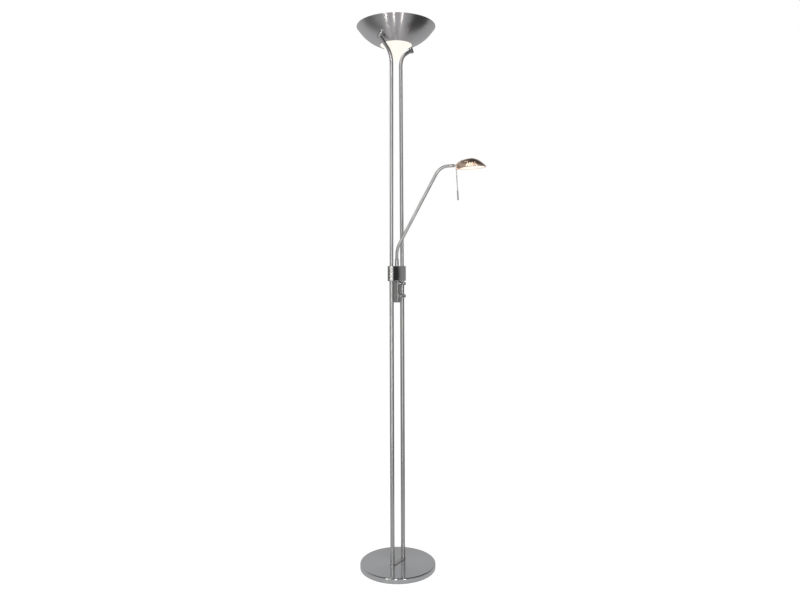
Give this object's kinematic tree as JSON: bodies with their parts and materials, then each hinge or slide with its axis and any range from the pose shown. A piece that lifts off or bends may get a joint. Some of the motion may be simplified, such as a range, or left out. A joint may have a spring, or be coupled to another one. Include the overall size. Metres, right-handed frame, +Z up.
{
  "type": "floor lamp",
  "caption": "Tall uplighter floor lamp: brushed steel bowl with a glowing glass cone on twin poles, a round weighted base, a dimmer housing and a swivelling arm with an oval reading head.",
  "frame": {"origin": "on the floor, at the centre of the round base", "axes": "+Z up; the two poles stand on the X axis; the dimmer knobs face -Y and the mains inlet faces +Y"},
  "size_m": [0.2622, 0.4175, 1.8],
  "materials": {
    "base_steel": "satin brushed",
    "iron": "raw casting",
    "pad": "closed-cell foam",
    "black_plastic": "moulded",
    "pole_steel": "satin nickel plated",
    "polished": "polished",
    "zinc": "zinc plated",
    "lead_jacket": "insulation",
    "housing_paint": "satin",
    "board": "circuit board",
    "shade_metal": "satin nickel plated",
    "frosted_glass": "frosted, lit from inside",
    "ceramic": "unglazed",
    "quartz": "clear quartz",
    "glow": "incandescent tungsten",
    "bowl_steel": "circular brushed",
    "silicone": "moulded",
    "opal_glass": "opal, lit from inside",
    "clear_glass": "clear",
    "grip_plastic": "grey, satin"
  },
  "bodies": {
    "stand": {"base_cover": "base_steel", "base_weight": "iron", "base_pad": "pad", "cable_gland": "black_plastic", "foot_plate": "pole_steel", "foot_studs": "zinc", "foot_washers": "zinc", "foot_nuts": "zinc", "lower_pole_left": "pole_steel", "lower_pole_right": "pole_steel", "upper_pole_left": "pole_steel", "upper_pole_right": "pole_steel", "supply_lead": "lead_jacket", "bowl_lead": "lead_jacket", "clamp_block": "polished", "pole_grub_screws": "zinc", "housing_shell": "housing_paint", "housing_back_cover": "housing_paint", "housing_screws": "zinc", "dimmer_board": "board", "dimmer_main": "black_plastic", "dimmer_reading": "black_plastic", "dimmer_nuts": "zinc", "knob_collars": "polished", "arm_bush": "polished", "bowl_shell": "bowl_steel", "bowl_post_right": "polished", "bowl_post_left": "polished", "post_nipples": "zinc", "bowl_washers": "zinc", "bowl_nuts": "zinc", "lamp_strip": "zinc", "tube_holder_right": "ceramic", "tube_holder_left": "ceramic", "halogen_tube": "quartz", "tube_filament": "glow", "tube_ends": "ceramic", "cone_gasket": "silicone", "glass_cone": "opal_glass", "safety_glass": "clear_glass", "glass_clips": "zinc"},
    "knob_main_unit": {"knob_main": "polished", "dimmer_shaft_main": "zinc"},
    "knob_reading_unit": {"knob_reading": "polished", "dimmer_shaft_reading": "zinc"},
    "reading_arm": {"arm_tube": "pole_steel", "arm_lead": "lead_jacket", "arm_thrust_ring": "polished", "arm_retainer": "zinc"},
    "arm_knuckle": {"head_knuckle": "polished"},
    "reading_head": {"head_neck": "shade_metal", "tilt_pin": "polished", "reading_shade": "shade_metal", "shade_screw": "zinc", "reading_lens": "frosted_glass", "lens_ring": "shade_metal", "capsule_socket": "ceramic", "capsule_lamp": "quartz", "handle_rod": "pole_steel", "handle_grip": "grip_plastic"}
  },
  "joints": [
    {"name": "arm_swivel", "type": "hinge", "parent": "stand", "child": "reading_arm", "pos_m": [0, 0, 1.003], "axis": [0, 0, 1], "range_deg": [-80, 45]},
    {"name": "head_roll", "type": "hinge", "parent": "reading_arm", "child": "arm_knuckle", "pos_m": [0.06248, -0.1923, 1.32825], "axis": [0.309, -0.9511, 0], "range_deg": [-90, 90]},
    {"name": "head_tilt", "type": "hinge", "parent": "arm_knuckle", "child": "reading_head", "pos_m": [0.06248, -0.1923, 1.32825], "axis": [0.9511, 0.309, 0], "range_deg": [-30, 40]},
    {"name": "main_dimmer_turn", "type": "hinge", "parent": "stand", "child": "knob_main_unit", "pos_m": [0, -0.02, 0.945], "axis": [0, 1, 0], "range_deg": [-240, 30]},
    {"name": "reading_dimmer_turn", "type": "hinge", "parent": "stand", "child": "knob_reading_unit", "pos_m": [0, -0.02, 0.904], "axis": [0, 1, 0], "range_deg": [-240, 30]}
  ]
}
